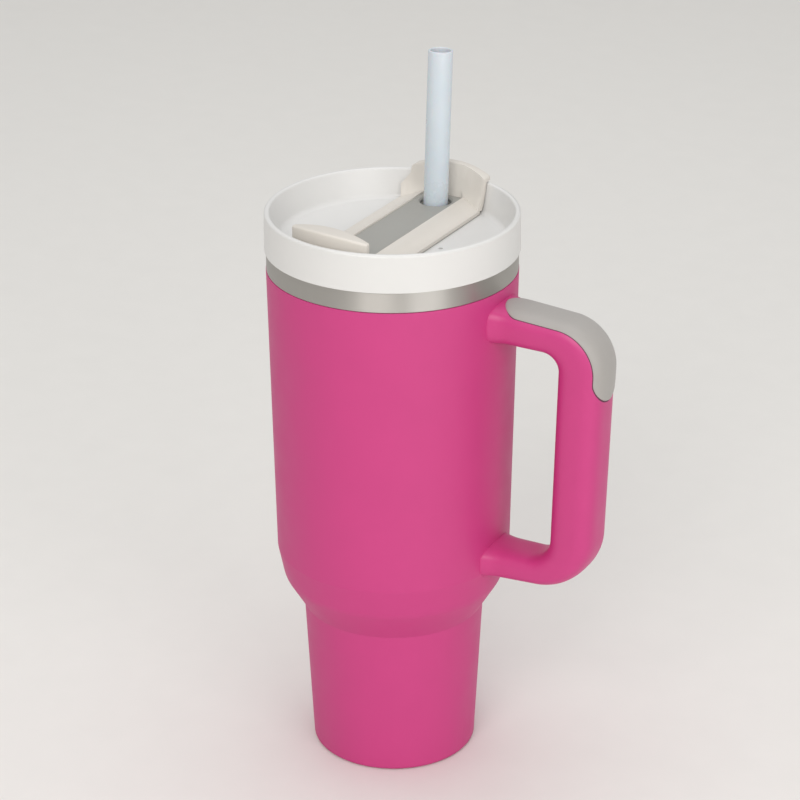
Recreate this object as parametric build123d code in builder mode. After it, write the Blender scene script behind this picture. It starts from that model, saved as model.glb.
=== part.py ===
from build123d import *
from math import cos, radians, sin, tan
import os

# Insulated tumbler with a press-in lid, a turning cover bar and a leaning straw.
# Millimetres. Z up, origin on the cup's axis where the foot meets the table,
# +X towards the handle, +Y towards the straw.

# ---- cup: heights and outside radii ----
height_coat_top = 218.2
height_band_top = height_coat_top + 8.7
height_rim = height_band_top + 15.7
r_foot = 34.9
r_waist = r_foot + 3.3
r_band = 51.46
r_shoulder = r_band - 2.26
z_waist = 66.5
z_shoulder_low = 80.0
r_shoulder_low = r_shoulder - 2.8
z_shoulder = 90.5

# ---- cup: walls ----
wall_shell = 0.9
wall_liner = 0.8
wall_pan = 0.9
gap_vacuum = 1.9
foot_flange = 5.4
coat_step = 0.12
neck_step = 1.36
neck_wall = 1.1
neck_height = 5.0
liner_floor_gap = 3.0
liner_floor_round = 6.0
pan_rise = 2.5
pan_clear = 0.6
pan_step_in = 1.5
evac_hole_r = 1.2
seal_cap_r = 3.0
seal_cap = 0.4
getter_at = 14.0
getter_r = 7.0
getter_thick = 1.6
getter_chamfer = 0.5

# ---- lid ----
r_lid = r_band + 0.54
r_lid_top = r_lid - 0.2
crown_radius = 1.0
bowl_top_r = r_lid - 2.3
bowl_low_r = bowl_top_r - 3.2
bowl_floor = height_band_top + 3.1
floor_thick = 1.8
bowl_fillet = 2.4
slot_clear = 0.35
plug_wall = 1.6
plug_depth = 13.0
plug_flange = 3.5
plug_flange_thick = 1.4
plug_lead = 0.6
plug_slot_extra = 0.3
gasket_height = 3.2
gasket_depth = 1.0
gasket_clear = 0.06
gasket_rise = 4.0
gasket_lip_low = 0.5
gasket_lip_high = 1.1
hub_depth = 5.0
vent_r = 0.9
vent_beside_bar = 3.8
vent_y = -0.7

# ---- moving cover ----
cover_gap = 0.35
bar_half = 18.8
channel_half = 9.04
rail_top = bowl_floor + 5.0
rail_edge = bowl_floor + 1.8
rail_land = 0.6
bar_end_gap = 1.9
insert_fit = 0.12
insert_drop = 0.7
insert_thick = 1.9
channel_end = bowl_low_r - 1.5
channel_start = bowl_low_r - 6.0
channel_corner = 2.0
insert_corner = 1.9
wing_half_angle = 24.6
wing_gap = 0.4
wing_thick = 2.2
wing_foot = 1.2
wing_foot_thick = 2.2
wing_knee = bowl_floor + 8.0
wing_corner = 1.5
wing_notch_corner = 2.0
lip_gap = 0.45
lip_reach = r_lid + 0.1
lip_edge = 1.2
lip_crest_out = 0.7
lip_crest_in = 2.3
lip_edge_round = 0.5
lip_crest_round = 0.7
lip_top = height_rim + 5.8
lip_end_top = height_rim + 2.4
lip_half = 19.4
lip_narrow_half = 15.4
lip_narrow_top = height_rim - 0.6
lip_narrow_foot = bowl_floor + 6.5
tab_half = 18.4
tab_mid = 8.0
tab_end = 2.4
tab_top = height_rim + 3.7
tab_end_top = height_rim + 1.6
tab_turn = -7.0
tab_round = 1.0
tab_gap = 0.45
tab_crown_drop = 0.2
tab_edge_band = 1.6
pivot_r = 3.2
hub_r = pivot_r + 4.3
pivot_fit = 0.06
pivot_recess = 0.6
pivot_recess_clear = 0.1
pivot_chamfer = 0.5
pin_below_clip = 1.2
clip_gap = 0.3
clip_thick = 1.2
clip_r = pivot_r + 2.4
pad_thick = 1.1
pad_lift = 0.1
seal_pad_back = 2.4
seal_pad_inset = 2.5
seal_pad_long = 16.0
seal_pad_corner = 4.0
turn_range = 16.0
turn_spare = 1.0

# ---- straw ----
straw_r = 5.1
straw_wall = 0.9
straw_lean = 3.5
straw_y = min(r_foot + 2.1, channel_end - straw_r - 2.9)
straw_top = height_rim + 55.4
straw_foot = 12.0
straw_hole_r = straw_r + 1.4
straw_bevel = 0.7
straw_end_round = 0.25
straw_clear = 0.9

# ---- handle ----
handle_half = 11.0
handle_round = 3.7
grip_in_r = r_band + 25.54
grip_out_r = grip_in_r + 19.4
grip_level = height_coat_top - 68.2
grip_in_slope = 0.025
grip_out_slope = 0.033
arm_top_z = height_coat_top - 6.0
arm_top_at = r_band + 9.54
arm_top_slope = 0.071
arm_under_z = arm_top_z - 15.5
low_under_z = z_shoulder + 1.2
low_top_z = low_under_z + 12.9
low_under_at = r_band + 3.04
low_under_slope = 0.07
corner_top = 19.0
corner_low = 25.0
inner_top = 6.5
inner_low = 10.0
arm_root = r_band - 7.46
flare_half = handle_half + 5.0
flare_length = 17.0
flare_high = 3.5
flare_sink = 0.3
flare_sections = 4

# ---- soft pad let into the handle ----
grip_pad_half = handle_half - 1.5
grip_pad_deep = 1.6
grip_pad_proud = 0.8
grip_pad_gap = 0.15
grip_pad_start = r_band + 1.54
grip_pad_end = arm_top_z - 32.7

# ---- handle fixings ----
bracket_plate = 1.2
bracket_half = 7.0
bracket_high = 7.0
bracket_tab = 2.4
bracket_reach = 15.0
bracket_allow = 1.0
tongue_half = 5.5
screw_at = r_band + 10.04
screw_r = 1.7
screw_head_r = 3.0
screw_head = 1.8
screw_cover = 1.0
screw_seat = 0.6
screw_way = 12.0
upper_bracket_z = arm_under_z + 8.9
lower_bracket_z = low_under_z + 6.6

# ---- cutters run past what they cut ----
over_cut = 2.0
long_cut = 120.0

# ---- derived heights and radii ----
foot_floor = wall_shell + wall_pan
pan_top = foot_floor + pan_rise
liner_out_floor = pan_top + liner_floor_gap
liner_in_floor = liner_out_floor + wall_liner
r_neck = r_band - neck_step
r_neck_in = r_neck - neck_wall
neck_top = height_band_top + neck_height
straw_dir = (0, sin(radians(straw_lean)), cos(radians(straw_lean)))


def shell_radius(z):
    """Outside radius of the painted wall at a height, along its straight runs."""
    if z <= z_waist:
        return r_foot + (r_waist - r_foot) * z / z_waist
    if z <= z_shoulder_low:
        share = (z - z_waist) / (z_shoulder_low - z_waist)
        return r_waist + (r_shoulder_low - r_waist) * share
    if z <= z_shoulder:
        share = (z - z_shoulder_low) / (z_shoulder - z_shoulder_low)
        return r_shoulder_low + (r_shoulder - r_shoulder_low) * share
    return r_shoulder + (r_band - r_shoulder) * (z - z_shoulder) / (height_coat_top - z_shoulder)


os.makedirs("parts", exist_ok=True)

# ================= cup body =================

foot_corners = [
    (r_foot, 0),
    (r_waist, z_waist),
    (r_shoulder_low, z_shoulder_low),
    (r_shoulder, z_shoulder),
]
upper_corners = [(r_shoulder, z_shoulder), (r_band, height_coat_top)]

# Painted foot wall: turned-in foot, tapered cup-holder length and the shoulder.
foot_inside = [
    (r_foot - wall_shell, wall_shell),
    (r_waist - wall_shell, z_waist),
    (r_shoulder_low - wall_shell, z_shoulder_low),
    (r_shoulder - wall_shell, z_shoulder),
]
with BuildPart() as foot_shell:
    with BuildSketch(Plane.XZ) as foot_half:
        with BuildLine():
            Polyline(
                (r_foot - foot_flange, 0),
                *foot_corners,
                *foot_inside[::-1],
                (r_foot - foot_flange, wall_shell),
                close=True,
            )
        make_face()
        foot_corner = foot_half.vertices().sort_by_distance((r_foot, 0))[0]
        fillet(foot_corner, wall_shell * 0.9)
    revolve(axis=Axis.Z)
foot_shell.part.label = "foot_shell"

# Painted upper wall, butt-welded to the foot wall at the top of the shoulder.
with BuildPart() as outer_shell:
    with BuildSketch(Plane.XZ):
        with BuildLine():
            Polyline(
                *upper_corners,
                (r_band - wall_shell, height_coat_top),
                (r_shoulder - wall_shell, z_shoulder),
                close=True,
            )
        make_face()
    revolve(axis=Axis.Z)
outer_shell.part.label = "outer_shell"

# Solid of everything inside the painted wall's outside face, used to trim the handle.
with BuildPart() as cup_solid:
    with BuildSketch(Plane.XZ):
        with BuildLine():
            Polyline((0, 0), *foot_corners, upper_corners[-1], (0, height_coat_top), close=True)
        make_face()
    revolve(axis=Axis.Z)

# Bare steel band and mouth neck: one spun ring welded on the painted wall's top edge.
with BuildPart() as mouth_ring:
    with BuildSketch(Plane.XZ):
        with BuildLine():
            Polyline(
                (r_band - wall_shell - coat_step, height_coat_top),
                (r_band - coat_step, height_coat_top),
                (r_band - coat_step, height_band_top),
                (r_neck, height_band_top + neck_step - coat_step),
                (r_neck, neck_top),
                (r_neck_in, neck_top),
                (r_neck_in, height_band_top),
                (r_band - wall_shell - coat_step, height_band_top - neck_step),
                close=True,
            )
        make_face()
    revolve(axis=Axis.Z)
mouth_ring.part.label = "mouth_ring"

# Steel liner that holds the drink: it follows the outer wall inside the vacuum gap,
# and is welded from a lower cup and an upper tube.
liner_gap = wall_shell + gap_vacuum
liner_weld = (r_shoulder - liner_gap, z_shoulder + liner_gap / 2)
liner_weld_in = (liner_weld[0] - wall_liner, liner_weld[1])
liner_foot_r = shell_radius(liner_out_floor) - liner_gap
with BuildPart() as liner_cup:
    with BuildSketch(Plane.XZ) as liner_half:
        with BuildLine():
            Polyline(
                (0, liner_out_floor),
                (liner_foot_r, liner_out_floor),
                (r_waist - liner_gap, z_waist + liner_gap / 2),
                (r_shoulder_low - liner_gap, z_shoulder_low + liner_gap / 2),
                liner_weld,
                liner_weld_in,
                (r_shoulder_low - liner_gap - wall_liner, z_shoulder_low + liner_gap / 2),
                (r_waist - liner_gap - wall_liner, z_waist + liner_gap / 2),
                (liner_foot_r - wall_liner, liner_in_floor),
                (0, liner_in_floor),
                close=True,
            )
        make_face()
        floor_corner = (liner_foot_r - wall_liner, liner_in_floor)
        fillet(liner_half.vertices().sort_by_distance(floor_corner)[0], liner_floor_round)
    revolve(axis=Axis.Z)
liner_cup.part.label = "liner_cup"

with BuildPart() as inner_liner:
    with BuildSketch(Plane.XZ):
        with BuildLine():
            Polyline(
                liner_weld,
                (r_neck_in, height_coat_top),
                (r_neck_in, neck_top),
                (r_neck_in - wall_liner, neck_top),
                (r_neck_in - wall_liner, height_coat_top),
                liner_weld_in,
                close=True,
            )
        make_face()
    revolve(axis=Axis.Z)
inner_liner.part.label = "inner_liner"

# Dished bottom pan, welded on top of the wall's turned-in foot.
pan_r = shell_radius(wall_shell) - wall_shell - pan_clear
pan_step_r = r_foot - foot_flange - pan_step_in
pan_under = wall_shell + pan_rise
with BuildPart() as base_pan:
    with BuildSketch(Plane.XZ):
        with BuildLine():
            Polyline(
                (0, pan_under),
                (pan_step_r - pan_rise, pan_under),
                (pan_step_r, wall_shell),
                (pan_r, wall_shell),
                (pan_r, foot_floor),
                (pan_step_r, foot_floor),
                (pan_step_r - pan_rise, pan_top),
                (0, pan_top),
                close=True,
            )
        make_face()
    revolve(axis=Axis.Z)
    with BuildSketch(Plane.XY.offset(pan_under)):
        Circle(evac_hole_r)
    extrude(amount=wall_pan, mode=Mode.SUBTRACT)
base_pan.part.label = "base_pan"

# Plug that closes the hole the air was drawn out through.
with BuildPart() as seal_plug:
    with BuildSketch(Plane.XY.offset(pan_under - seal_cap)):
        Circle(seal_cap_r)
    extrude(amount=seal_cap)
    with BuildSketch(Plane.XY.offset(pan_under)):
        Circle(evac_hole_r)
    extrude(amount=wall_pan)
seal_plug.part.label = "seal_plug"

# Getter capsule in the vacuum space, spot-welded on the pan's inner face.
with BuildPart() as getter:
    with BuildSketch(Plane.XY.offset(pan_top)):
        with Locations((getter_at, 0)):
            Circle(getter_r)
    extrude(amount=getter_thick)
    chamfer(getter.edges().group_by(Axis.Z)[-1], getter_chamfer)
getter.part.label = "getter"

# ================= handle and its fixings =================

grip_out_top = grip_out_r + grip_out_slope * (arm_top_z - grip_level)
grip_out_low = grip_out_r + grip_out_slope * (low_top_z - grip_level)
grip_in_top = grip_in_r + grip_in_slope * (arm_under_z - grip_level)
grip_in_low = grip_in_r + grip_in_slope * (low_top_z - grip_level)
window_start = arm_root - over_cut


def top_line(x):
    """Height of the upper arm's top face."""
    return arm_top_z - arm_top_slope * (x - arm_top_at)


def under_line(x):
    """Height of the lower arm's underside."""
    return low_under_z + low_under_slope * (x - low_under_at)


handle_outline = [
    (arm_root, top_line(arm_root)),
    (grip_out_top, top_line(grip_out_top)),
    (grip_out_low, under_line(grip_out_low)),
    (arm_root, under_line(arm_root)),
]
window_outline = [
    (window_start, arm_under_z),
    (grip_in_top, arm_under_z),
    (grip_in_low, low_top_z),
    (window_start, low_top_z),
]


def handle_face(grow):
    """The handle's side view as a filled outline, moved outward by an amount."""
    with BuildSketch(Plane.XZ) as side_view:
        with BuildLine():
            Polyline(*handle_outline, close=True)
        make_face()
        fillet(side_view.vertices().sort_by_distance(handle_outline[1])[0], corner_top)
        fillet(side_view.vertices().sort_by_distance(handle_outline[2])[0], corner_low)
        if grow != 0:
            offset(amount=grow, kind=Kind.INTERSECTION)
    return side_view.sketch


# Handle block: side view with its window, rounded along both faces.
with BuildSketch(Plane.XZ) as window:
    with BuildLine():
        Polyline(*window_outline, close=True)
    make_face()
    fillet(window.vertices().sort_by_distance(window_outline[1])[0], inner_top)
    fillet(window.vertices().sort_by_distance(window_outline[2])[0], inner_low)
with BuildPart() as handle_block:
    extrude(handle_face(0), amount=handle_half, both=True)
    extrude(window.sketch, amount=handle_half, both=True, mode=Mode.SUBTRACT)
    long_edges = handle_block.faces().filter_by(Axis.Y).edges()
    fillet([edge for edge in long_edges if edge.center().X > arm_root + over_cut], handle_round)


def arm_flare(low, high, name):
    """Trumpet-shaped root of an arm, wider where it meets the round wall."""
    with BuildPart() as flare:
        for step in range(flare_sections):
            share = step / (flare_sections - 1)
            x = arm_root + flare_length * share
            fade = (1 - share) ** 2
            half = handle_half + (flare_half - handle_half) * fade - flare_sink * share
            extra = flare_high * fade - flare_sink * share
            middle = (low(x) + high(x)) / 2
            with BuildSketch(Plane(origin=(x, 0, middle), x_dir=(0, 1, 0), z_dir=(1, 0, 0))):
                RectangleRounded(2 * half, high(x) - low(x) + 2 * extra, handle_round)
        loft()
    flare.part.label = name
    return flare.part


upper_flare = arm_flare(lambda x: arm_under_z, top_line, "upper_flare")
lower_flare = arm_flare(under_line, lambda x: low_top_z, "lower_flare")


def bracket(z, name):
    """Folded steel tab: a curved plate welded on the wall and a flat tongue for the screw."""
    wall_r = shell_radius(z)
    with BuildPart() as tab:
        with BuildSketch(Plane.XY.offset(z - bracket_high / 2)):
            Circle(wall_r + bracket_plate + bracket_allow)
            with Locations((-bracket_half, 0)):
                Rectangle(2 * wall_r, 4 * wall_r, mode=Mode.SUBTRACT)
            with Locations((0, wall_r + bracket_half), (0, -wall_r - bracket_half)):
                Rectangle(4 * wall_r, 2 * wall_r, mode=Mode.SUBTRACT)
        extrude(amount=bracket_high)
        with BuildSketch(Plane.XY.offset(z - bracket_tab / 2)):
            with Locations((wall_r + bracket_reach / 2, 0)):
                Rectangle(bracket_reach, 2 * tongue_half)
        extrude(amount=bracket_tab)
        add(cup_solid.part, mode=Mode.SUBTRACT)
        with BuildSketch(Plane.XY.offset(z - bracket_tab)):
            with Locations((screw_at, 0)):
                Circle(screw_r)
        extrude(amount=2 * bracket_tab, mode=Mode.SUBTRACT)
    tab.part.label = name
    return tab.part


upper_bracket = bracket(upper_bracket_z, "upper_bracket")
lower_bracket = bracket(lower_bracket_z, "lower_bracket")


def screw_stack(z, radius_shank, with_cover):
    """Screw from below into a bracket tongue, or with its cover plug as one cutting shape."""
    head_top = z - bracket_tab / 2 - screw_seat
    head_low = head_top - screw_head
    with BuildPart() as stack:
        with BuildSketch(Plane.XY.offset(head_low)):
            with Locations((screw_at, 0)):
                Circle(screw_head_r)
        extrude(amount=screw_head)
        with BuildSketch(Plane.XY.offset(head_top)):
            with Locations((screw_at, 0)):
                Circle(radius_shank)
        extrude(amount=z + bracket_tab / 2 - head_top)
        if with_cover:
            with BuildSketch(Plane.XY.offset(head_low - screw_way)):
                with Locations((screw_at, 0)):
                    Circle(screw_head_r)
            extrude(amount=screw_way)
    return stack.part


def screw_cover_at(z):
    """Small round cover pressed in under a screw head."""
    head_low = z - bracket_tab / 2 - screw_seat - screw_head
    with BuildPart() as cover:
        with BuildSketch(Plane.XY.offset(head_low - screw_cover)):
            with Locations((screw_at, 0)):
                Circle(screw_head_r)
        extrude(amount=screw_cover)
    return cover.part


with BuildPart() as handle_screws:
    add(screw_stack(upper_bracket_z, screw_r, False))
    add(screw_stack(lower_bracket_z, screw_r, False))
handle_screws.part.label = "handle_screws"

with BuildPart() as screw_covers:
    add(screw_cover_at(upper_bracket_z))
    add(screw_cover_at(lower_bracket_z))
screw_covers.part.label = "screw_covers"


def pad_zone(half, start, end):
    """Outline prism of the soft pad: round ends, one on the top arm, one down the grip."""
    with BuildPart() as zone:
        with BuildSketch(Plane.XY.offset(end - half)):
            with Locations((start + half + long_cut / 2, 0)):
                Rectangle(long_cut, 2 * half)
            with Locations((start + half, 0)):
                Circle(half)
        extrude(amount=height_rim)
        with BuildSketch(Plane.YZ):
            with Locations((0, end + half + long_cut / 2)):
                Rectangle(2 * half, long_cut)
            with Locations((0, end + half)):
                Circle(half)
        extrude(amount=2 * long_cut, mode=Mode.INTERSECT)
    return zone.part


with BuildPart() as pad_core:
    extrude(handle_face(-grip_pad_deep), amount=handle_half + over_cut, both=True)

# Soft pad along the handle's top outer corner, a little proud of the moulding.
with BuildPart() as grip_pad:
    extrude(handle_face(grip_pad_proud), amount=handle_half + grip_pad_proud, both=True)
    proud_edges = grip_pad.faces().filter_by(Axis.Y).edges()
    fillet([edge for edge in proud_edges if edge.center().X > arm_root + over_cut], handle_round)
    add(pad_core.part, mode=Mode.SUBTRACT)
    add(pad_zone(grip_pad_half, grip_pad_start, grip_pad_end), mode=Mode.INTERSECT)
    add(cup_solid.part, mode=Mode.SUBTRACT)
grip_pad.part.label = "grip_pad"

# The pocket for the pad is the zone outside the core, a hair wider than the pad.
pocket_half = grip_pad_half + grip_pad_gap
with BuildPart() as pad_pocket:
    add(pad_zone(pocket_half, grip_pad_start - grip_pad_gap, grip_pad_end - grip_pad_gap))
    add(pad_core.part, mode=Mode.SUBTRACT)

# One-piece moulded handle with flared roots, cut to the round wall.
with BuildPart() as handle:
    add(handle_block.part)
    add(upper_flare)
    add(lower_flare)
    add(cup_solid.part, mode=Mode.SUBTRACT)
    add(pad_pocket.part, mode=Mode.SUBTRACT)
    add(upper_bracket, mode=Mode.SUBTRACT)
    add(lower_bracket, mode=Mode.SUBTRACT)
    add(screw_stack(upper_bracket_z, screw_r, True), mode=Mode.SUBTRACT)
    add(screw_stack(lower_bracket_z, screw_r, True), mode=Mode.SUBTRACT)
handle.part.label = "handle"

# ================= lid =================

skirt_in_r = r_neck + slot_clear
bowl_out_r = r_neck_in - wall_liner - slot_clear
floor_low = bowl_floor - floor_thick
drink_mid_r = straw_y
drink_half = straw_r + straw_clear
drink_span = turn_range + turn_spare


def drink_slot(height_low, amount, wider):
    """Kidney-shaped prism round the straw's side of the lid centre."""
    with BuildPart() as slot:
        with BuildSketch(Plane.XY.offset(height_low)):
            SlotArc(
                CenterArc((0, 0), drink_mid_r, 90 - drink_span, 2 * drink_span),
                2 * (drink_half + wider),
            )
        extrude(amount=amount)
    return slot.part


# White moulded lid: skirt over the neck, rounded crown, bowl with a drinking opening
# and a small vent beside the bar.
with BuildPart() as lid_shell:
    with BuildSketch(Plane.XZ) as lid_half:
        with BuildLine():
            Polyline(
                (pivot_r + pivot_fit, bowl_floor),
                (bowl_low_r, bowl_floor),
                (bowl_top_r, height_rim),
                (r_lid_top, height_rim),
                (r_lid, height_band_top),
                (skirt_in_r, height_band_top + neck_step),
                (skirt_in_r, neck_top + slot_clear),
                (bowl_out_r, neck_top + slot_clear),
                (bowl_out_r, floor_low),
                (hub_r, floor_low),
                (hub_r, floor_low - hub_depth),
                (pivot_r + pivot_fit, floor_low - hub_depth),
                close=True,
            )
        make_face()
        fillet(lid_half.vertices().sort_by_distance((r_lid_top, height_rim))[0], crown_radius)
        fillet(lid_half.vertices().sort_by_distance((bowl_top_r, height_rim))[0], crown_radius)
        fillet(lid_half.vertices().sort_by_distance((bowl_low_r, bowl_floor))[0], bowl_fillet)
    revolve(axis=Axis.Z)
    add(drink_slot(floor_low - over_cut, floor_thick + 2 * over_cut, 0), mode=Mode.SUBTRACT)
    with BuildSketch(Plane.XY.offset(floor_low)):
        with Locations((bar_half + vent_beside_bar, vent_y)):
            Circle(vent_r)
    extrude(amount=floor_thick, mode=Mode.SUBTRACT)
lid_shell.part.label = "lid_shell"

# Ring welded under the bowl that reaches into the mouth and carries the gasket.
plug_low = floor_low - plug_depth
gasket_low = plug_low + gasket_rise
mouth_r = r_neck_in - wall_liner
with BuildPart() as plug_ring:
    with BuildSketch(Plane.XZ):
        with BuildLine():
            Polyline(
                (bowl_out_r - plug_flange, floor_low),
                (bowl_out_r, floor_low),
                (bowl_out_r, gasket_low + gasket_height),
                (bowl_out_r - gasket_depth, gasket_low + gasket_height),
                (bowl_out_r - gasket_depth, gasket_low),
                (bowl_out_r, gasket_low),
                (bowl_out_r - plug_lead, plug_low),
                (bowl_out_r - gasket_depth - plug_wall, plug_low),
                (bowl_out_r - gasket_depth - plug_wall, floor_low - plug_flange_thick),
                (bowl_out_r - plug_flange, floor_low - plug_flange_thick),
                close=True,
            )
        make_face()
    revolve(axis=Axis.Z)
    add(drink_slot(floor_low - 2 * over_cut, 2 * over_cut, plug_slot_extra), mode=Mode.SUBTRACT)
plug_ring.part.label = "plug_ring"

# Silicone gasket with two lips, seated in the ring's groove.
gasket_r = mouth_r - gasket_clear
with BuildPart() as lid_gasket:
    with BuildSketch(Plane.XZ):
        with BuildLine():
            Polyline(
                (bowl_out_r - gasket_depth, gasket_low),
                (bowl_out_r, gasket_low),
                (gasket_r, gasket_low + gasket_lip_low),
                (gasket_r, gasket_low + gasket_lip_high),
                (bowl_out_r, gasket_low + gasket_height / 2),
                (gasket_r, gasket_low + gasket_height - gasket_lip_high),
                (gasket_r, gasket_low + gasket_height - gasket_lip_low),
                (bowl_out_r, gasket_low + gasket_height),
                (bowl_out_r - gasket_depth, gasket_low + gasket_height),
                close=True,
            )
        make_face()
    revolve(axis=Axis.Z)
lid_gasket.part.label = "lid_gasket"

# ================= turning cover =================

bar_low = bowl_floor + cover_gap
insert_top = rail_top - insert_drop
insert_low = insert_top - insert_thick
seal_pad_low = bar_low - cover_gap + pad_lift
seal_pad_y = drink_mid_r - seal_pad_back
seal_pad_wide = 2 * (bar_half - seal_pad_inset)
bar_far = bowl_low_r - bar_end_gap
tab_outer_r = bowl_low_r - tab_gap


def inner_wall_r(z):
    """Radius of the bowl's sloping wall at a height."""
    return bowl_low_r + (bowl_top_r - bowl_low_r) * (z - bowl_floor) / (height_rim - bowl_floor)


straw_axis_low = Plane(
    origin=(0, straw_y - tan(radians(straw_lean)) * (rail_top - straw_foot), straw_foot),
    x_dir=(1, 0, 0),
    z_dir=straw_dir,
)

# Leaning cutter for the straw's way through the bar.
with BuildPart() as straw_way:
    with BuildSketch(straw_axis_low):
        Circle(straw_hole_r)
    extrude(amount=straw_top - straw_foot)


def arched_zone(half, middle_top, end_top, low, corner):
    """Prism along Y whose top is a shallow arch, used to crown the tab."""
    with BuildPart() as arch:
        with BuildSketch(Plane.XZ) as front:
            with BuildLine():
                ThreePointArc((-half, end_top), (0, middle_top), (half, end_top))
                Line((half, end_top), (half, low))
                Line((half, low), (-half, low))
                Line((-half, low), (-half, end_top))
            make_face()
            fillet(front.vertices().group_by(Axis.Y)[-1], corner)
        extrude(amount=2 * r_lid, both=True)
    return arch.part


# Front outline of the wing: an arched top, one side narrowed above the rails.
with BuildPart() as wing_zone:
    with BuildSketch(Plane.XZ) as wing_front:
        with BuildLine():
            ThreePointArc((-lip_narrow_half, lip_end_top), (0, lip_top), (lip_half, lip_end_top))
            Polyline(
                (lip_half, lip_end_top),
                (lip_half, bar_low - over_cut),
                (-lip_half, bar_low - over_cut),
                (-lip_half, lip_narrow_foot),
                (-lip_narrow_half, lip_narrow_top),
                (-lip_narrow_half, lip_end_top),
            )
        make_face()
        for lip_corner in ((-lip_narrow_half, lip_end_top), (lip_half, lip_end_top)):
            fillet(wing_front.vertices().sort_by_distance(lip_corner)[0], wing_corner)
        for notch in ((-lip_half, lip_narrow_foot), (-lip_narrow_half, lip_narrow_top)):
            fillet(wing_front.vertices().sort_by_distance(notch)[0], wing_notch_corner)
    extrude(amount=2 * r_lid, both=True)

# Wing and lip: a band turned part-way round, up the bowl's wall and out over the crown.
foot_out_r = inner_wall_r(bar_low) - 2 * wing_gap
knee_r = inner_wall_r(wing_knee) - wing_gap
lip_low = height_rim + lip_gap
lip_corners = [
    ((lip_reach, lip_low), lip_edge_round),
    ((bowl_top_r + lip_crest_out, lip_top), lip_crest_round),
    ((bowl_top_r - lip_crest_in, lip_top), lip_crest_round),
]
with BuildPart() as wing:
    with BuildSketch(Plane.XZ) as wing_half:
        with BuildLine():
            Polyline(
                (foot_out_r - wing_foot_thick, bar_low + wing_foot),
                (foot_out_r, bar_low + wing_foot),
                (knee_r, wing_knee),
                (bowl_top_r - wing_gap, lip_low),
                (lip_reach, lip_low),
                (lip_reach, lip_low + lip_edge),
                (bowl_top_r + lip_crest_out, lip_top),
                (bowl_top_r - lip_crest_in, lip_top),
                (knee_r - wing_thick, wing_knee),
                close=True,
            )
        make_face()
        for corner, radius in lip_corners:
            fillet(wing_half.vertices().sort_by_distance(corner)[0], radius)
    revolve(axis=Axis.Z, revolution_arc=2 * wing_half_angle)
wing_turned = wing.part.rotate(Axis.Z, 90 - wing_half_angle)

# Cover frame: sloping rails, channel for the insert, and the wing.
with BuildPart() as cover_frame:
    with BuildSketch(Plane.XZ) as bar_section:
        with BuildLine():
            Polyline(
                (-bar_half, bar_low),
                (bar_half, bar_low),
                (bar_half, rail_edge),
                (channel_half + rail_land, rail_top),
                (-channel_half - rail_land, rail_top),
                (-bar_half, rail_edge),
                close=True,
            )
        make_face()
    extrude(amount=long_cut / 2, both=True)
    with BuildSketch(Plane.XY.offset(bar_low)):
        Circle(bar_far)
    extrude(amount=rail_top - bar_low, mode=Mode.INTERSECT)
    add(wing_turned)
    add(wing_zone.part, mode=Mode.INTERSECT)
    with BuildSketch(Plane.XY.offset(insert_low)):
        with Locations((0, (channel_end - long_cut / 2) / 2)):
            RectangleRounded(2 * channel_half, channel_end + long_cut / 2, channel_corner)
    extrude(amount=lip_top - insert_low, mode=Mode.SUBTRACT)
    add(straw_way.part, mode=Mode.SUBTRACT)
    with BuildSketch(Plane.XY.offset(bar_low)):
        Circle(pivot_r)
    extrude(amount=rail_top - bar_low, mode=Mode.SUBTRACT)
    with BuildSketch(Plane.XY.offset(seal_pad_low)):
        with Locations((0, seal_pad_y)):
            RectangleRounded(seal_pad_wide, seal_pad_long, seal_pad_corner)
    extrude(amount=pad_thick, mode=Mode.SUBTRACT)
cover_frame.part.label = "cover_frame"

# Insert let into the channel, with the straw's hole.
insert_half = channel_half - insert_fit
with BuildPart() as cover_insert:
    with BuildSketch(Plane.XY.offset(insert_low)):
        with Locations((0, (channel_end - insert_fit - channel_start) / 2)):
            RectangleRounded(2 * insert_half, channel_end - insert_fit + channel_start, insert_corner)
    extrude(amount=insert_thick)
    add(straw_way.part, mode=Mode.SUBTRACT)
    hole_edges = cover_insert.edges().filter_by(GeomType.ELLIPSE).group_by(Axis.Z)[-1]
    chamfer(hole_edges, straw_bevel)
    with BuildSketch(Plane.XY.offset(insert_low)):
        Circle(pivot_r + pivot_recess_clear)
    extrude(amount=pivot_recess, mode=Mode.SUBTRACT)
cover_insert.part.label = "cover_insert"

# Thumb tab opposite the straw: a lens in plan, snapped on the end of the bar.
tab_in_y = tab_outer_r - tab_mid
tab_side_y = -((tab_outer_r**2 - tab_half**2) ** 0.5)
tab_back_y = tab_side_y + tab_end
with BuildPart() as tab_block:
    with BuildSketch(Plane.XY.offset(rail_edge)):
        with BuildLine():
            ThreePointArc((-tab_half, tab_side_y), (0, -tab_outer_r), (tab_half, tab_side_y))
            Line((tab_half, tab_side_y), (tab_half, tab_back_y))
            ThreePointArc((tab_half, tab_back_y), (0, -tab_in_y), (-tab_half, tab_back_y))
            Line((-tab_half, tab_back_y), (-tab_half, tab_side_y))
        make_face()
    extrude(amount=tab_top - rail_edge)
    fillet(tab_block.edges().filter_by(Axis.Z), tab_round)
    crown_end = tab_end_top - tab_crown_drop
    crown = arched_zone(tab_half + over_cut, tab_top, crown_end, bar_low, tab_round)
    add(crown, mode=Mode.INTERSECT)
    top_edges = tab_block.edges().filter_by(lambda edge: edge.center().Z > tab_end_top - tab_edge_band)
    fillet(top_edges, tab_round)
with BuildPart() as thumb_tab:
    add(tab_block.part.rotate(Axis.Z, tab_turn))
    add(cover_frame.part, mode=Mode.SUBTRACT)
    add(cover_insert.part, mode=Mode.SUBTRACT)
thumb_tab.part.label = "thumb_tab"

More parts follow.
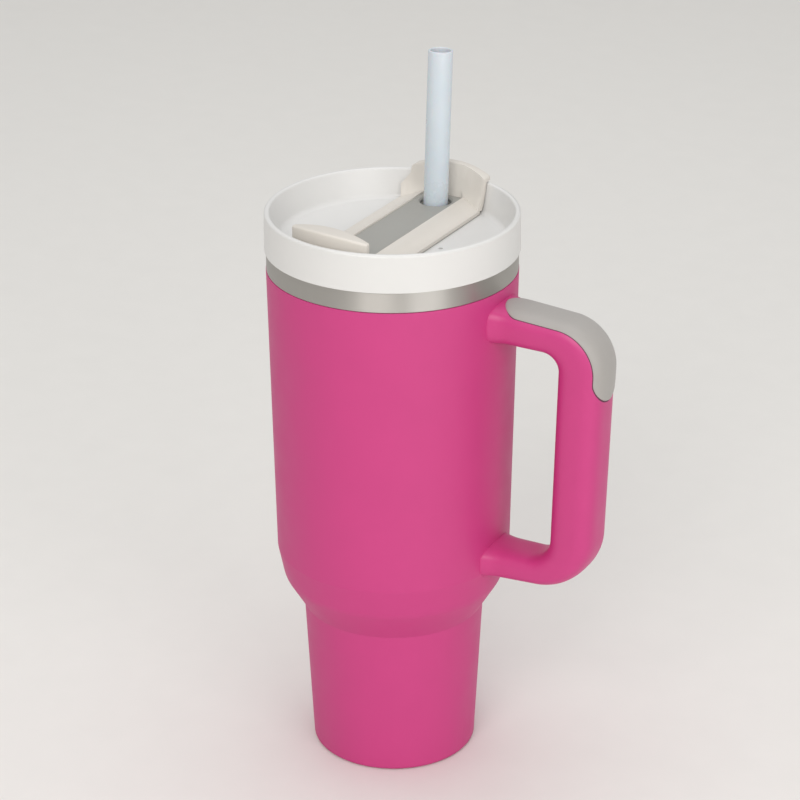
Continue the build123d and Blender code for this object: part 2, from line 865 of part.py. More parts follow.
# Silicone pad under the bar that covers the drinking opening, open round the straw.
with BuildPart() as cover_seal:
    with BuildSketch(Plane.XY.offset(seal_pad_low)):
        with Locations((0, seal_pad_y)):
            RectangleRounded(seal_pad_wide, seal_pad_long, seal_pad_corner)
    extrude(amount=pad_thick)
    add(straw_way.part, mode=Mode.SUBTRACT)
cover_seal.part.label = "cover_seal"

# Pivot pin pressed in the bar, running in the lid's hub.
pin_low = floor_low - hub_depth - clip_thick - pin_below_clip
with BuildPart() as pivot_pin:
    with BuildSketch(Plane.XY.offset(pin_low)):
        Circle(pivot_r)
    extrude(amount=insert_low - pin_low)
    chamfer(pivot_pin.edges().group_by(Axis.Z)[0], pivot_chamfer)
pivot_pin.part.label = "pivot_pin"

# Snap clip on the pin's lower end that keeps the cover down on the lid.
with BuildPart() as pivot_clip:
    with BuildSketch(Plane.XY.offset(floor_low - hub_depth - clip_thick - clip_gap)):
        Circle(clip_r)
        Circle(pivot_r, mode=Mode.SUBTRACT)
    extrude(amount=clip_thick)
pivot_clip.part.label = "pivot_clip"

# ================= straw =================
straw_length = (straw_top - straw_foot) / cos(radians(straw_lean))
with BuildPart() as straw:
    with BuildSketch(straw_axis_low):
        Circle(straw_r)
        Circle(straw_r - straw_wall, mode=Mode.SUBTRACT)
    extrude(amount=straw_length)
    fillet(straw.edges().filter_by(GeomType.CIRCLE), straw_end_round)
straw.part.label = "straw"

pieces = [
    foot_shell.part,
    outer_shell.part,
    mouth_ring.part,
    liner_cup.part,
    inner_liner.part,
    base_pan.part,
    seal_plug.part,
    getter.part,
    handle.part,
    grip_pad.part,
    upper_bracket,
    lower_bracket,
    handle_screws.part,
    screw_covers.part,
    lid_shell.part,
    plug_ring.part,
    lid_gasket.part,
    cover_frame.part,
    cover_insert.part,
    thumb_tab.part,
    cover_seal.part,
    pivot_pin.part,
    pivot_clip.part,
    straw.part,
]
for piece in pieces:
    export_step(piece, "parts/" + piece.label + ".step")
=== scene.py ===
import bpy
import bmesh
import numpy as np
from mathutils import Matrix, Vector


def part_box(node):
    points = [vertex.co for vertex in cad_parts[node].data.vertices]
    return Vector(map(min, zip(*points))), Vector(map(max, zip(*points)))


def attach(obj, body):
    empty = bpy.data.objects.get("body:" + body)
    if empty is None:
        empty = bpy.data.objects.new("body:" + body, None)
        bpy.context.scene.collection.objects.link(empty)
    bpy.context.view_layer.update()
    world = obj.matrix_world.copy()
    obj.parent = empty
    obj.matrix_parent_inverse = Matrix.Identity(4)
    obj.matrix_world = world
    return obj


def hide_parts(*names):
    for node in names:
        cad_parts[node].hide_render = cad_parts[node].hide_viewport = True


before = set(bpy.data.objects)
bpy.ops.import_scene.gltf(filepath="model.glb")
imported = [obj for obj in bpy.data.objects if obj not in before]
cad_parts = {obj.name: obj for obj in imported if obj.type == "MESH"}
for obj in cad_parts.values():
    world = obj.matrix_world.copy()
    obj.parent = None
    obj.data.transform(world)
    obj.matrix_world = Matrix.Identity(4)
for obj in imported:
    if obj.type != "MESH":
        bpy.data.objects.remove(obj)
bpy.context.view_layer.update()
MM = 0.001

# ---------------------------------------------------------------------------
# Camera: a long lens a metre off, a little over half a metre up, looking down
# at the middle of the cup from between the thumb tab and the handle.
# ---------------------------------------------------------------------------
view_turn = np.radians(29.2)
view_yaw = np.radians(-0.162)
view_pitch = np.radians(24.439)
view_roll = np.radians(-0.162)
view_away = 1.0178
view_high = 0.6206
view_lens = 121.07


def turned_about_z(vector, angle):
    """The vector turned about the vertical axis by an angle in radians."""
    turn = Matrix.Rotation(angle, 3, "Z")
    return turn @ Vector(vector)


camera_data = bpy.data.cameras.new("studio_camera")
camera_data.lens = view_lens
camera_data.sensor_width = 36.0
camera_data.clip_start = 0.05
camera = bpy.data.objects.new("studio_camera", camera_data)
bpy.context.scene.collection.objects.link(camera)
bpy.context.scene.camera = camera
level_right = turned_about_z((1, 0, 0), view_turn + view_yaw)
level_ahead = turned_about_z((0, 1, 0), view_turn + view_yaw)
ahead = level_ahead * np.cos(view_pitch) - Vector((0, 0, 1)) * np.sin(view_pitch)
upward = level_right.cross(ahead)
right = level_right * np.cos(view_roll) + upward * np.sin(view_roll)
upward = upward * np.cos(view_roll) - level_right * np.sin(view_roll)
pose = Matrix((right, upward, -ahead)).transposed().to_4x4()
pose.translation = turned_about_z((0, -view_away, 0), view_turn) + Vector((0, 0, view_high))
camera.matrix_world = pose

# ---------------------------------------------------------------------------
# Studio: a wide pale floor, an even pale sky and large soft lamps, the main one high
# in front and a little to the left, so the cup's sides turn down from its middle.
# ---------------------------------------------------------------------------
floor_half, floor_drop = 6.0, 0.0002
lamp_aim = Vector((0, 0, 0.13))


def tone(hex_colour, alpha=1.0):
    """An sRGB hex colour as linear RGBA: each channel by the sRGB curve."""
    values = np.array([int(hex_colour[i:i + 2], 16) for i in (1, 3, 5)]) / 255.0
    linear = np.where(values <= 0.04045, values / 12.92, ((values + 0.055) / 1.055) ** 2.4)
    return (*[float(v) for v in linear], alpha)


def add_node(tree, kind, links=(), **settings):
    """A new node of a kind; settings name its properties or, as in_NAME or in_NUMBER, its inputs.
    links are (input, other node's output) pairs."""
    made = tree.nodes.new(kind)
    for key, value in settings.items():
        if key.startswith("in_"):
            name = key[3:]
            socket = made.inputs[int(name) if name.isdigit() else name.replace("_", " ")]
            socket.default_value = value
        else:
            setattr(made, key, value)
    for where, source in links:
        tree.links.new(source, made.inputs[where])
    return made


def finish(name, colour, **shader):
    """A named material with one Principled shader: returns the material, its tree and the shader."""
    made = bpy.data.materials.new(name)
    made.use_nodes = True
    tree = made.node_tree
    surface = tree.nodes["Principled BSDF"]
    surface.inputs["Base Color"].default_value = tone(colour)
    for key, value in shader.items():
        surface.inputs[key.replace("_", " ")].default_value = value
    return made, tree, surface


def lamp(name, place, size, power, colour):
    """A square soft lamp at a place, aimed at the middle of the cup."""
    data = bpy.data.lights.new(name, "AREA")
    data.size = size
    data.energy = power
    data.color = tone(colour)[:3]
    made = bpy.data.objects.new(name, data)
    bpy.context.scene.collection.objects.link(made)
    made.location = place
    made.rotation_euler = (lamp_aim - Vector(place)).to_track_quat("-Z", "Y").to_euler()


lamp("key_softbox", turned_about_z((-0.45, -1.7, 1.35), view_turn), 1.1, 16.5, "#FFFDFB")
lamp("front_fill", turned_about_z((1.0, -1.7, 0.7), view_turn), 1.2, 12.0, "#FFFFFF")
lamp("top_panel", turned_about_z((0.0, 0.3, 2.1), view_turn), 1.6, 13.0, "#F7FAFF")

sky = bpy.data.worlds.new("pale_sky")
sky.use_nodes = True
sky.node_tree.nodes["Background"].inputs["Color"].default_value = tone("#F2F1EF")
sky.node_tree.nodes["Background"].inputs["Strength"].default_value = 0.6
bpy.context.scene.world = sky
bpy.context.scene.view_settings.view_transform = "Standard"

floor_mesh = bpy.data.meshes.new("floor")
corners = np.array([(-1, -1, 0), (1, -1, 0), (1, 1, 0), (-1, 1, 0)]) * floor_half
corners[:, 2] = -floor_drop
floor_mesh.from_pydata(corners.tolist(), [], [(0, 1, 2, 3)])
floor = bpy.data.objects.new("floor", floor_mesh)
bpy.context.scene.collection.objects.link(floor)
floor_paint, floor_tree, floor_surface = finish("pale_backdrop", "#E8E6E2", Roughness=0.75)
floor_mesh.materials.append(floor_paint)

# ---------------------------------------------------------------------------
# Cup wall: one spun steel wall, powder coated pink and baked: a dead-even matte skin
# with a very fine orange-peel texture. The foot is turned in under the cup.
# ---------------------------------------------------------------------------
foot_r, waist_r, low_shoulder_r, shoulder_r, coat_r = 34.9, 38.2, 46.6, 49.2, 51.46
waist_z, low_shoulder_z, shoulder_z, coat_z = 66.5, 80.5, 90.5, 218.2
wall_thick = 0.9
turned_in = 5.4
shoulder_lift, waist_lift = 3.0, 0.5
foot_bend, waist_bend, low_bend, high_bend = 1.6, 2.6, 12.0, 6.0
cut_edge, coat_edge = 0.2, 0.12
lathe_steps = 192


def rounded_loop(corners, arc_steps=10, run_step=4.0):
    """Closed outline from (r, z, radius) corners: each corner becomes an arc of that radius,
    tangent to both sides, and straight runs are divided at most every run_step."""
    points = []
    table = np.array(corners, float)
    count = len(table)
    for i in range(count):
        here, before, after = table[i, :2], table[i - 1, :2], table[(i + 1) % count, :2]
        a, b = before - here, after - here
        a, b = a / np.linalg.norm(a), b / np.linalg.norm(b)
        half = 0.5 * np.arccos(np.clip(a @ b, -1, 1))
        radius = table[i, 2]
        if radius <= 0 or half > 1.55:
            arc = here[None]
        else:
            reach = radius / np.tan(half)
            centre = here + (a + b) / np.linalg.norm(a + b) * radius / np.sin(half)
            start, end = here + a * reach - centre, here + b * reach - centre
            t = np.linspace(0, 1, arc_steps)[:, None]
            sweep = np.pi - 2 * half
            arc = centre + (np.sin((1 - t) * sweep) * start + np.sin(t * sweep) * end) / np.sin(sweep)
        points.append(arc)
    joined = []
    for i in range(count):
        joined.append(points[i])
        a, b = points[i][-1], points[(i + 1) % count][0]
        extra = int(np.linalg.norm(b - a) // run_step)
        if extra > 0:
            t = np.linspace(0, 1, extra + 2)[1:-1, None]
            joined.append(a + (b - a) * t)
    return np.concatenate(joined)


def grid_mesh(name, points, wrap_u, wrap_v, cap_u=False):
    """Mesh of a grid of points [u, v, xyz] in millimetres; wrap closes it on itself in u or v,
    and cap_u closes both ends of u with one face each. Faces are made by whole-array indexing."""
    nu, nv = points.shape[:2]
    index = np.arange(nu * nv).reshape(nu, nv)
    across = np.roll(index, -1, 0) if wrap_u else index[1:]
    base = index if wrap_u else index[:-1]
    along_a = np.roll(base, -1, 1) if wrap_v else base[:, 1:]
    along_b = np.roll(across, -1, 1) if wrap_v else across[:, 1:]
    if not wrap_v:
        base, across = base[:, :-1], across[:, :-1]
    quads = np.stack([base, across, along_b, along_a], -1).reshape(-1, 4)
    faces = quads.tolist()
    if cap_u:
        faces.append(index[0].tolist())
        faces.append(index[-1][::-1].tolist())
    mesh = bpy.data.meshes.new(name)
    mesh.from_pydata((points.reshape(-1, 3) * MM).tolist(), [], faces)
    return mesh


def place(name, mesh, material, body, replaced=(), slot=None, sharp=40):
    """Links a mesh as a piece with outward normals and its material, on a body of the frame."""
    work = bmesh.new()
    work.from_mesh(mesh)
    bmesh.ops.remove_doubles(work, verts=work.verts, dist=1e-6)
    bmesh.ops.recalc_face_normals(work, faces=work.faces)
    work.to_mesh(mesh)
    work.free()
    mesh.materials.clear()
    mesh.materials.append(material)
    mesh.shade_smooth()
    mesh.set_sharp_from_angle(angle=np.radians(sharp))
    made = bpy.data.objects.new(name, mesh)
    bpy.context.scene.collection.objects.link(made)
    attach(made, body)
    if replaced:
        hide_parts(*replaced)


def lathe(name, outline, steps=lathe_steps):
    """Surface of revolution: each outline point (r, z) carried round the cup's axis."""
    angle = np.linspace(0, 2 * np.pi, steps, endpoint=False)[:, None]
    r, z = outline[None, :, 0], outline[None, :, 1]
    points = np.stack([r * np.cos(angle), r * np.sin(angle), z + 0 * angle], -1)
    return grid_mesh(name, points, True, True)


broad_grain = 0.018
noise_low, noise_high = 0.3, 0.7


def set_relief(tree, surface, noise, strength, distance):
    """Lets a noise raise the surface by up to a distance in metres."""
    relief = add_node(tree, "ShaderNodeBump", [("Height", noise.outputs["Fac"])],
                      in_Strength=strength, in_Distance=distance)
    tree.links.new(relief.outputs["Normal"], surface.inputs["Normal"])


def set_roughness(tree, surface, noise, least, most):
    """Roughness between two values as a noise goes through its middle range."""
    spread = add_node(tree, "ShaderNodeMapRange", [("Value", noise.outputs["Fac"])],
                      in_1=noise_low, in_2=noise_high, in_3=least, in_4=most)
    tree.links.new(spread.outputs["Result"], surface.inputs["Roughness"])


def set_tint(tree, surface, noise, first, second):
    """Colour mixed from two sRGB colours by a noise."""
    mix = add_node(tree, "ShaderNodeMix", [("Factor", noise.outputs["Fac"])], data_type="RGBA")
    mix.inputs[6].default_value = tone(first)
    mix.inputs[7].default_value = tone(second)
    tree.links.new(mix.outputs[2], surface.inputs["Base Color"])


def drawn_noise(tree, where, stretch, detail, roughness):
    """Noise on Object coordinates, scaled by its own number for each axis."""
    mapped = add_node(tree, "ShaderNodeMapping", [("Vector", where.outputs["Object"])])
    mapped.inputs["Scale"].default_value = stretch
    return add_node(tree, "ShaderNodeTexNoise", [("Vector", mapped.outputs["Vector"])],
                    in_Scale=1.0, in_Detail=detail, in_Roughness=roughness)


def fine_bump(tree, surface, grain_mm, depth_mm, rough=None, tint=None):
    """Small even relief from noise on Object coordinates, grain_mm between its bumps and depth_mm
    deep. rough gives the shader's roughness range over a larger noise, tint how far colour strays."""
    where = add_node(tree, "ShaderNodeTexCoord")
    grain = add_node(tree, "ShaderNodeTexNoise", [("Vector", where.outputs["Object"])],
                     in_Scale=1.0 / (grain_mm * MM), in_Detail=3.0, in_Roughness=0.55)
    set_relief(tree, surface, grain, 1.0, depth_mm * MM)
    broad = add_node(tree, "ShaderNodeTexNoise", [("Vector", where.outputs["Object"])],
                     in_Scale=1.0 / broad_grain, in_Detail=4.0, in_Roughness=0.6)
    if rough:
        set_roughness(tree, surface, broad, *rough)
    if tint:
        set_tint(tree, surface, broad, *tint)


# Polyester powder coat, sprayed dry and baked: matte, faintly pebbled, even in colour.
powder_coat, tree, surface = finish("powder_coated_steel", "#C2387B", Roughness=0.52, IOR=1.5)
fine_bump(tree, surface, 0.45, 0.006, rough=(0.46, 0.58), tint=("#BF3679", "#C63B7E"))

wall_outline = rounded_loop([
    (foot_r - turned_in, 0.0, 0.3),
    (foot_r, 0.0, foot_bend),
    (waist_r, waist_z, waist_bend),
    (low_shoulder_r, low_shoulder_z, low_bend),
    (shoulder_r, shoulder_z + shoulder_lift, high_bend),
    (coat_r, coat_z, coat_edge),
    (coat_r - wall_thick, coat_z, 0.0),
    (shoulder_r - wall_thick, shoulder_z + shoulder_lift, high_bend),
    (low_shoulder_r - wall_thick, low_shoulder_z, low_bend),
    (waist_r - wall_thick, waist_z + waist_lift, 2.0),
    (foot_r - wall_thick, wall_thick, 0.5),
    (foot_r - turned_in, wall_thick, cut_edge),
])
place("cup_wall", lathe("cup_wall", wall_outline), powder_coat, "cup", ["outer_shell", "foot_shell"],
      "powder_coat")

# ---------------------------------------------------------------------------
# Bare steel band and mouth: one spun stainless ring, left uncoated and finished on a
# lathe with a fine belt, so it carries hair-fine rings and streaked reflections.
# ---------------------------------------------------------------------------
band_r, band_low, band_high = 51.30, 218.2, 226.9
neck_r, neck_in_r, neck_top = 50.1, 49.0, 231.9
neck_bend = 0.5

turned_steel, tree, surface = finish("turned_stainless_steel", "#C4C0BA", Metallic=1.0, Roughness=0.3,
                                     Anisotropic=0.9, Anisotropic_Rotation=0.25)
round_axis = add_node(tree, "ShaderNodeTangent", direction_type="RADIAL", axis="Z")
tree.links.new(round_axis.outputs["Tangent"], surface.inputs["Tangent"])
where = add_node(tree, "ShaderNodeTexCoord")
rings = drawn_noise(tree, where, (9.0, 9.0, 2600.0), 4.0, 0.65)
set_relief(tree, surface, rings, 0.55, 0.00003)
clouds = drawn_noise(tree, where, (55.0, 55.0, 6.0), 3.0, 0.5)
set_roughness(tree, surface, clouds, 0.42, 0.54)
set_tint(tree, surface, clouds, "#B2AFAA", "#D2CFCA")

band_outline = rounded_loop([
    (band_r - wall_thick, band_low, 0.0),
    (band_r, band_low + 0.25, 0.2),
    (band_r, band_high - 0.1, 0.35),
    (neck_r, band_high + 1.1, neck_bend),
    (neck_r, neck_top, neck_bend),
    (neck_in_r, neck_top, neck_bend),
    (neck_in_r, band_high, 0.8),
    (band_r - wall_thick, band_high - 1.3, 0.8),
], run_step=1.2)
place("mouth_band", lathe("mouth_band", band_outline, 256), turned_steel, "cup", ["mouth_ring"],
      "bare_steel")

# ---------------------------------------------------------------------------
# Liner: deep-drawn stainless cup, electropolished inside, which leaves a soft bright skin
# with faint rings from drawing. Its floor is rounded into the wall.
# ---------------------------------------------------------------------------
polished_steel, tree, surface = finish("electropolished_stainless", "#D2D1CE", Metallic=1.0,
                                       Roughness=0.28)
where = add_node(tree, "ShaderNodeTexCoord")
draw_marks = drawn_noise(tree, where, (14.0, 14.0, 700.0), 3.0, 0.6)
set_relief(tree, surface, draw_marks, 0.5, 0.00005)
set_roughness(tree, surface, draw_marks, 0.36, 0.5)

liner_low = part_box("liner_cup")[0][2] / MM
liner_gap, liner_gap_low, liner_lift = 2.8, 3.0, 1.4
liner_thick = 0.8
neck_play = 0.05
liner_top = neck_top - 0.1
axis_hole_r = 0.6
liner_foot_r = foot_r + (waist_r - foot_r) * liner_low / waist_z - liner_gap
liner_side = [
    (waist_r - liner_gap, waist_z + liner_lift, 3.0),
    (low_shoulder_r - liner_gap_low, low_shoulder_z + liner_lift, 10.0),
    (shoulder_r - liner_gap, shoulder_z + liner_lift, 8.0),
]
liner_outline = rounded_loop([
    (axis_hole_r, liner_low, 0.0),
    (liner_foot_r, liner_low, 0.6),
    *liner_side,
    (neck_in_r - neck_play, band_low, 3.0),
    (neck_in_r - neck_play, liner_top, 0.3),
    (neck_in_r - liner_thick, liner_top, 0.3),
    (neck_in_r - liner_thick, band_low, 3.0),
    *[(r - liner_thick, z, bend) for r, z, bend in liner_side[::-1]],
    (liner_foot_r - liner_thick, liner_low + liner_thick, 6.0),
    (axis_hole_r, liner_low + liner_thick, 0.0),
])
place("drink_liner", lathe("drink_liner", liner_outline), polished_steel, "cup",
      ["liner_cup", "inner_liner"], "liner_steel")

# ---------------------------------------------------------------------------
# Bottom pan: pressed stainless dish welded over the turned-in foot. Its underside is
# left bare and has the rings that spinning leaves.
# ---------------------------------------------------------------------------
pan_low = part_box("base_pan")[0][2] / MM
pan_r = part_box("base_pan")[1][0] / MM
pan_rise = 2.5
pan_under = pan_low + pan_rise
pan_step_r = foot_r - turned_in - 1.5
evac_r = 1.2
bead_depth = 0.4
pan_bend = 1.0
pan_outline = rounded_loop([
    (evac_r, pan_under, 0.0),
    (8.0, pan_under, pan_bend),
    (8.6, pan_under - bead_depth, pan_bend),
    (9.6, pan_under - bead_depth, pan_bend),
    (10.2, pan_under, pan_bend),
    (pan_step_r - pan_rise, pan_under, 1.2),
    (pan_step_r, pan_low, pan_bend),
    (pan_r, pan_low, 0.0),
    (pan_r, pan_low + wall_thick, 0.0),
    (pan_step_r, pan_low + wall_thick, 0.6),
    (pan_step_r - pan_rise, pan_under + wall_thick, 0.6),
    (evac_r, pan_under + wall_thick, 0.0),
])
place("bottom_pan", lathe("bottom_pan", pan_outline, 128), turned_steel, "cup", ["base_pan"],
      "bare_steel")

# ---------------------------------------------------------------------------
# Handle: one polypropylene moulding in the cup's colour, screwed to tabs on the wall. It
# widens a little into the wall at both roots, and its section is a soft-cornered block.
# ---------------------------------------------------------------------------
handle_half = 11.0
corner_high_r, corner_low_r, window_high_r, window_low_r = 19.0, 25.0, 6.5, 10.0
outer_high = (98.45, 209.5)
outer_low = (94.9, 94.5)
window_high = (78.2, 196.7)
window_low = (75.9, 104.6)
root_x = 44.0
root_high_z, root_low_z = 213.4, 91.0
root_flare, root_reach, root_power = 1.7, 8.0, 2.2
arm_steps, bend_steps, grip_steps = 60, 26, 40


def bent_run(start, first, second, end, first_r, second_r):
    """Arm, bend, grip, bend, arm as one line of points with fixed shares of points, so that the
    outer and the window line can be paired point by point."""
    start, first, second, end = (np.array(p, float) for p in (start, first, second, end))

    def bend(before, corner, after, radius):
        a = (before - corner) / np.linalg.norm(before - corner)
        b = (after - corner) / np.linalg.norm(after - corner)
        half = 0.5 * np.arccos(a @ b)
        centre = corner + (a + b) / np.linalg.norm(a + b) * radius / np.sin(half)
        reach = radius / np.tan(half)
        t = np.linspace(0, 1, bend_steps)[:, None]
        sweep = np.pi - 2 * half
        ends = corner + a * reach - centre, corner + b * reach - centre
        return centre + (np.sin((1 - t) * sweep) * ends[0] + np.sin(t * sweep) * ends[1]) / np.sin(sweep)

    high, low = bend(start, first, second, first_r), bend(first, second, end, second_r)
    arm = np.linspace(0, 1, arm_steps, endpoint=False)[:, None]
    grip = np.linspace(0, 1, grip_steps + 2)[1:-1, None]
    back = np.linspace(0, 1, arm_steps + 1)[1:, None]
    return np.concatenate([
        start + (high[0] - start) * arm, high,
        high[-1] + (low[0] - high[-1]) * grip, low,
        low[-1] + (end - low[-1]) * back,
    ])


outer_run = bent_run((root_x, root_high_z), outer_high, outer_low, (root_x, root_low_z),
                     corner_high_r, corner_low_r)
window_run = bent_run((root_x, window_high[1]), window_high, window_low, (root_x, window_low[1]),
                      window_high_r, window_low_r)


def wall_radius(z):
    """Outside radius of the painted wall at heights z."""
    return np.interp(z, [0, waist_z, low_shoulder_z, shoulder_z, coat_z],
                     [foot_r, waist_r, low_shoulder_r, shoulder_r, coat_r])


def section_shape(angle, power):
    """Superellipse of unit half width and height at an angle: |x|^p + |y|^p = 1."""
    c, s = np.cos(angle), np.sin(angle)
    return np.sign(c) * np.abs(c) ** (2 / power), np.sign(s) * np.abs(s) ** (2 / power)


section_power = 3.0
section_steps = 72
root_rise_share = 0.3
wall_overlap = 0.35
angle = np.linspace(0, 2 * np.pi, section_steps, endpoint=False)[None, :]
across_part, side_part = section_shape(angle, section_power)
middle = (outer_run + window_run) / 2
reach_out = (outer_run - window_run) / 2
x = middle[:, :1] + reach_out[:, :1] * across_part
z = middle[:, 1:] + reach_out[:, 1:] * across_part
y = handle_half * side_part + 0 * x
push = np.stack([x - middle[:, :1], y, z - middle[:, 1:]], -1)
push[..., 0] = 0
push /= np.linalg.norm(push, axis=-1, keepdims=True) + 1e-9
off_wall = np.hypot(x, y) - wall_radius(z)
near = np.clip(1 - off_wall / root_reach, 0, 1)
swell = root_flare * near[..., None] ** root_power
handle_points = np.stack([x, y, z], -1) + push * swell * np.array([1.0, 1.0, root_rise_share])
radius = np.hypot(handle_points[..., 0], handle_points[..., 1])
least = wall_radius(handle_points[..., 2]) - wall_overlap
grow = np.maximum(least / np.maximum(radius, 1e-6), 1.0)
handle_points[..., :2] *= grow[..., None]

moulded_handle, tree, surface = finish("moulded_polypropylene_pink", "#C2387B", Roughness=0.42, IOR=1.49)
fine_bump(tree, surface, 0.6, 0.004, rough=(0.36, 0.48), tint=("#BF3679", "#C63B7E"))
place("handle_moulding", grid_mesh("handle_moulding", handle_points, False, True, cap_u=True),
      moulded_handle, "cup", ["handle"], "handle_plastic", sharp=60)

# ---------------------------------------------------------------------------
# Grip pad: grey soft-touch elastomer let into the handle's top outer corner. It follows
# the handle's crown, stands three quarters of a millimetre proud and has round ends.
# ---------------------------------------------------------------------------
pad_half, pad_proud, pad_deep = 9.4, 0.75, 1.2
# Half width and rise of the dark strip of painted shade round the pad.
gap_shade_half, gap_shade_proud = 10.15, 0.3
pad_start_x, pad_end_z = 52.6, 179.7
pad_stations, pad_turns, pad_power, thin_edge = 150, 56, 3.4, 1.5

run_length = np.concatenate([[0], np.cumsum(np.linalg.norm(np.diff(outer_run, axis=0), axis=1))])
pad_from = np.interp(pad_start_x, outer_run[:arm_steps, 0], run_length[:arm_steps])
grip_part = slice(arm_steps + bend_steps, arm_steps + bend_steps + grip_steps)
pad_to = np.interp(-pad_end_z, -outer_run[grip_part, 1], run_length[grip_part])


def inlay_points(half, proud, deep, longer):
    """Closed strip along the handle's crown with round ends. Across the strip a superellipse of
    half width w(s) rides on the handle's section; w is a half circle over the last half width."""
    first, last = pad_from - longer, pad_to + longer
    # Stations crowd towards both ends, where the outline turns.
    along = first + (last - first) * (0.5 - 0.5 * np.cos(np.linspace(0, np.pi, pad_stations)))
    crest = np.stack([np.interp(along, run_length, outer_run[:, i]) for i in (0, 1)], -1)
    inward = np.stack([np.interp(along, run_length, -reach_out[:, i]) for i in (0, 1)], -1)
    half_thick = np.linalg.norm(inward, axis=1, keepdims=True)
    inward = inward / half_thick
    from_end = np.minimum(along - first, last - along)
    width = half * np.sqrt(np.clip(1 - np.clip(1 - from_end / half, 0, 1) ** 2, 0, 1))
    turn = np.linspace(0, 2 * np.pi, pad_turns, endpoint=False)[None, :]
    side, rise = section_shape(turn, pad_power)
    strip_y = width[:, None] * side
    drop = half_thick * (1 - (1 - np.abs(strip_y / handle_half) ** section_power) ** (1 / section_power))
    height = (proud - deep) / 2 + (proud + deep) / 2 * rise * np.minimum(1, width[:, None] / thin_edge)
    depth = drop - height
    x, z = (crest[:, i:i + 1] + inward[:, i:i + 1] * depth for i in (0, 1))
    return np.stack([x, strip_y, z], -1)


soft_grip, tree, surface = finish("soft_touch_elastomer_grey", "#A39F9B", Roughness=0.5, IOR=1.47)
surface.inputs["Sheen Weight"].default_value = 0.15
fine_bump(tree, surface, 0.35, 0.006, rough=(0.42, 0.55), tint=("#9F9B97", "#A6A29E"))
pad_points = inlay_points(pad_half, pad_proud, pad_deep, 0.0)
place("grip_inlay", grid_mesh("grip_inlay", pad_points, False, True, cap_u=True),
      soft_grip, "cup", ["grip_pad"], "soft_grip", sharp=70)

# Painted shade: a dark strip a little wider than the pad and barely proud. It stands in for the shadow
# in the gap round the pad, so it shows as a hair line.
painted_gap_shade, tree, surface = finish("painted_shade_line", "#5A2440", Roughness=0.6)
fine_bump(tree, surface, 0.3, 0.01, rough=(0.5, 0.7))
gap_shade_points = inlay_points(gap_shade_half, gap_shade_proud, pad_deep, gap_shade_half - pad_half)
place("pad_painted_gap_shade", grid_mesh("pad_painted_gap_shade", gap_shade_points, False, True, cap_u=True),
      painted_gap_shade, "cup", slot="soft_grip", sharp=70)

# ---------------------------------------------------------------------------
# Screws, tabs and round covers that hold the handle: zinc-plated screws driven up from
# under each arm into stainless tabs, with small pink covers pressed in after them.
# ---------------------------------------------------------------------------
zinc_plate, tree, surface = finish("zinc_plated_screw", "#C4C6C8", Metallic=1.0, Roughness=0.3)
fine_bump(tree, surface, 0.3, 0.003, rough=(0.25, 0.4))
raw_tab, tree, surface = finish("stamped_stainless_tab", "#A9A8A6", Metallic=1.0, Roughness=0.42)
fine_bump(tree, surface, 0.5, 0.006, rough=(0.36, 0.5))
dull_braze, tree, surface = finish("brazed_seal_metal", "#8E8C88", Metallic=1.0, Roughness=0.55)
fine_bump(tree, surface, 0.7, 0.03, rough=(0.45, 0.65), tint=("#86837E", "#979591"))
getter_grey, tree, surface = finish("sintered_getter_metal", "#6F7072", Metallic=1.0, Roughness=0.7)
fine_bump(tree, surface, 0.25, 0.02, rough=(0.6, 0.8), tint=("#67686A", "#78797B"))


def dress(node, material):
    """Gives a frame node its material in every slot."""
    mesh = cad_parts[node].data
    mesh.materials.clear()
    mesh.materials.append(material)


dress("handle_screws", zinc_plate)
dress("upper_bracket", raw_tab)
dress("lower_bracket", raw_tab)
dress("screw_covers", moulded_handle)
dress("seal_plug", dull_braze)
dress("getter", getter_grey)

# ---------------------------------------------------------------------------
# Lid: white polypropylene, injection moulded with a satin outside and a smoother bowl. The
# plug ring is welded under it and carries a clear-white silicone gasket with two lips.
# ---------------------------------------------------------------------------
lid_white, tree, surface = finish("moulded_polypropylene_white", "#DAD9D7", Roughness=0.32, IOR=1.49)
fine_bump(tree, surface, 0.7, 0.0012, rough=(0.3, 0.36), tint=("#D8D7D5", "#DCDBD9"))
gasket_white, tree, surface = finish("moulded_silicone", "#D5D7D6", Roughness=0.5, IOR=1.41)
fine_bump(tree, surface, 0.3, 0.004, rough=(0.45, 0.6))
dress("lid_shell", lid_white)
dress("plug_ring", lid_white)
dress("lid_gasket", gasket_white)

# ---------------------------------------------------------------------------
# Cover bar, its insert and thumb tab: warm grey polypropylene rails and tab around a
# mid-grey insert, all moulded with small rounded edges that catch a light line.
# ---------------------------------------------------------------------------
rail_round, insert_round = 0.45, 0.25
merge_within, flat_angle, round_steps = 2e-6, 0.6, 3


def softened(name, node, material, body, radius, angle=28):
    """A copy of a frame node with its flat faces merged and every edge sharper than an angle
    rounded to a radius in millimetres; it stands for the node."""
    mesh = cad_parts[node].data.copy()
    mesh.name = name
    work = bmesh.new()
    work.from_mesh(mesh)
    bmesh.ops.remove_doubles(work, verts=work.verts, dist=merge_within)
    bmesh.ops.dissolve_limit(work, angle_limit=np.radians(flat_angle), verts=work.verts,
                             edges=work.edges)
    work.to_mesh(mesh)
    work.free()
    mesh.materials.clear()
    mesh.materials.append(material)
    mesh.shade_smooth()
    made = bpy.data.objects.new(name, mesh)
    bpy.context.scene.collection.objects.link(made)
    bevel = made.modifiers.new("rounded_edges", "BEVEL")
    bevel.width = radius * MM
    bevel.segments = round_steps
    bevel.limit_method = "ANGLE"
    bevel.angle_limit = np.radians(angle)
    bevel.harden_normals = True
    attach(made, body)
    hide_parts(node)


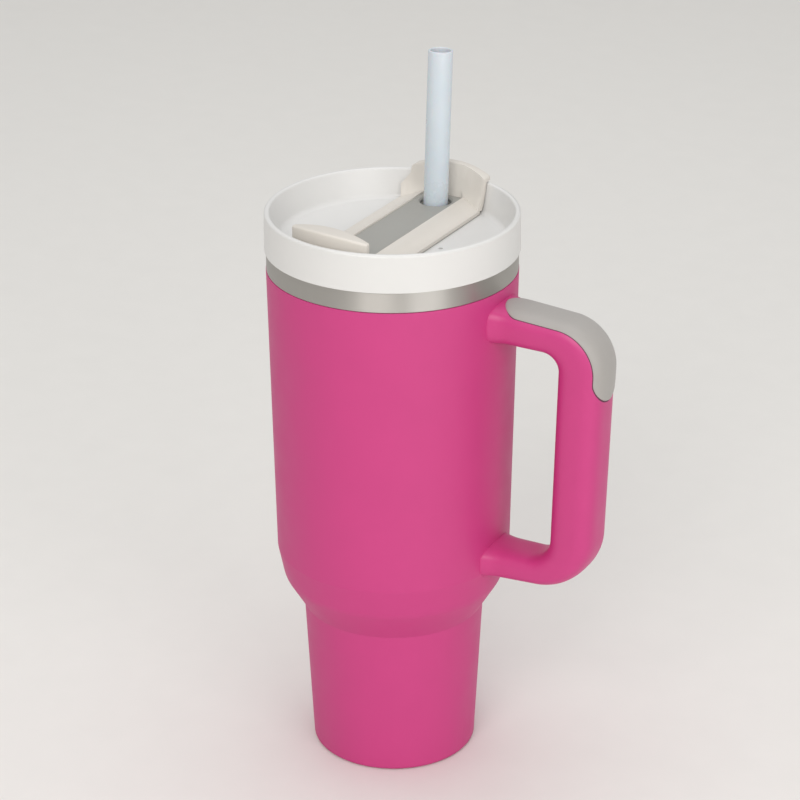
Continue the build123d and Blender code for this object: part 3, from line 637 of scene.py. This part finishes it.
warm_rails, tree, surface = finish("moulded_polypropylene_warm_grey", "#D6D1C9", Roughness=0.42,
                                   IOR=1.49)
fine_bump(tree, surface, 0.55, 0.004, rough=(0.36, 0.48), tint=("#D4CEC6", "#DAD5CD"))
insert_grey, tree, surface = finish("moulded_polypropylene_mid_grey", "#9F9E99", Roughness=0.46,
                                    IOR=1.49)
fine_bump(tree, surface, 0.5, 0.005, rough=(0.4, 0.52), tint=("#9C9B96", "#A3A29D"))
softened("cover_rails", "cover_frame", warm_rails, "cover", rail_round)
softened("cover_channel_insert", "cover_insert", insert_grey, "cover", insert_round)
softened("thumb_lever", "thumb_tab", warm_rails, "cover", rail_round)
dress("cover_seal", gasket_white)
dress("pivot_pin", insert_grey)
dress("pivot_clip", raw_tab)

# ---------------------------------------------------------------------------
# Straw: extruded polypropylene tube, milky and bluish white, cut square with the
# ends melted round. It leans with the hole in the bar.
# ---------------------------------------------------------------------------
straw_r, straw_wall = 5.1, 0.9
straw_lean = np.radians(3.5)
straw_low, straw_high = (corner / MM for corner in (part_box("straw")[0][2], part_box("straw")[1][2]))
straw_y_at_bar, bar_z = 37.0, 235.0
straw_steps, run_steps, end_steps = 72, 40, 9

along_axis = np.array([0, np.sin(straw_lean), np.cos(straw_lean)])
side_axis = np.array([0, np.cos(straw_lean), -np.sin(straw_lean)])
end_lift = straw_r * np.sin(straw_lean)
low_z, high_z = straw_low + end_lift, straw_high - end_lift
length = (high_z - low_z) / np.cos(straw_lean)
foot = np.array([0, straw_y_at_bar - np.tan(straw_lean) * (bar_z - low_z), low_z])
half_wall = straw_wall / 2
round_end = np.linspace(0, np.pi, end_steps)
mid_r = straw_r - half_wall
outside_s = np.linspace(half_wall, length - half_wall, run_steps)
run_r = np.concatenate([
    np.full(run_steps, straw_r), mid_r + half_wall * np.cos(round_end),
    np.full(run_steps, straw_r - straw_wall), mid_r - half_wall * np.cos(round_end),
])
run_s = np.concatenate([
    outside_s, length - half_wall + half_wall * np.sin(round_end),
    outside_s[::-1], half_wall - half_wall * np.sin(round_end),
])
angle = np.linspace(0, 2 * np.pi, straw_steps, endpoint=False)[:, None, None]
ring = np.cos(angle) * np.array([1.0, 0, 0]) + np.sin(angle) * side_axis
straw_points = foot + along_axis * run_s[None, :, None] + ring * run_r[None, :, None]

milky_tube, tree, surface = finish("extruded_polypropylene_natural", "#CAD3DA", Roughness=0.3, IOR=1.49)
surface.inputs["Subsurface Weight"].default_value = 0.15
surface.inputs["Subsurface Scale"].default_value = 0.004
fine_bump(tree, surface, 0.8, 0.001, rough=(0.26, 0.32), tint=("#C8D1D8", "#CDD5DC"))
place("drinking_straw", grid_mesh("drinking_straw", straw_points, True, True), milky_tube, "straw",
      ["straw"], "straw_plastic")

# The floor's paint gets its grain here, after the helper for it exists.
fine_bump(floor_tree, floor_surface, 3.0, 0.02, rough=(0.7, 0.85), tint=("#E6E4E0", "#EAE8E4"))
